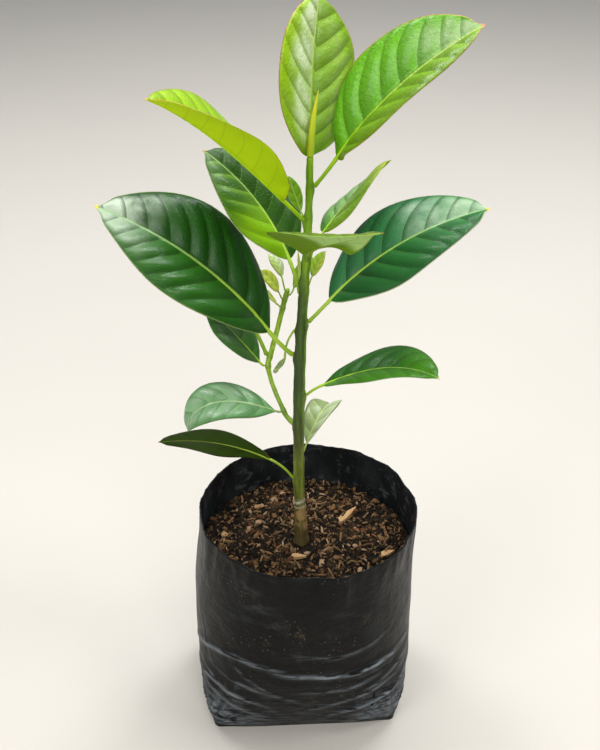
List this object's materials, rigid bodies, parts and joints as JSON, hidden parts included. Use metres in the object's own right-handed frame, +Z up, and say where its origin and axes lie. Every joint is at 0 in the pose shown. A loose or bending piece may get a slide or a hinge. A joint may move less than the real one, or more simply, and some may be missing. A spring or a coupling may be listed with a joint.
{
  "type": "potted jackfruit tree",
  "caption": "Young upright jackfruit tree with a single stem, a small side branch and large oval glossy leaves, standing in a soil-filled black film nursery bag.",
  "frame": {"origin": "on the bag's flat underside, below the middle of its rim", "axes": "+Z up along the stem, +X to the right as the picture sees it, +Y away from the picture's camera"},
  "size_m": [0.2578, 0.162, 0.5511],
  "materials": {
    "film": "thin black polythene with a dull sheen, creases and dust",
    "soil": "matt, crumbly potting mix",
    "bark": "satin green bark, brown at the foot",
    "shoot": "satin green young bark",
    "bud": "satin",
    "mature_leaf": "glossy dark green",
    "mid_leaf": "glossy mid green",
    "lime_leaf": "glossy lime green",
    "pale_leaf": "satin pale green"
  },
  "bodies": {
    "root": {"grow_bag": "film", "potting_soil": "soil", "main_stem": "bark", "side_branch": "shoot", "terminal_bud": "bud", "leaf_lowest_left": "mature_leaf", "leaf_behind_stem": "pale_leaf", "leaf_lower_right": "mid_leaf", "leaf_large_left": "mature_leaf", "leaf_small_hanging": "pale_leaf", "leaf_large_right": "mature_leaf", "leaf_upper_back": "mid_leaf", "leaf_small_back": "pale_leaf", "leaf_pale_axil": "pale_leaf", "leaf_front": "lime_leaf", "leaf_narrow_right": "lime_leaf", "leaf_folded_left": "lime_leaf", "leaf_young_pale": "pale_leaf", "leaf_top_right": "lime_leaf", "leaf_top_upright": "lime_leaf", "leaf_branch_drooping": "mid_leaf", "leaf_branch_left": "mid_leaf", "leaf_branch_upper": "mid_leaf", "leaf_shoot_low": "pale_leaf", "leaf_shoot_middle": "pale_leaf", "leaf_shoot_left": "pale_leaf", "leaf_shoot_top": "pale_leaf"}
  },
  "joints": []
}
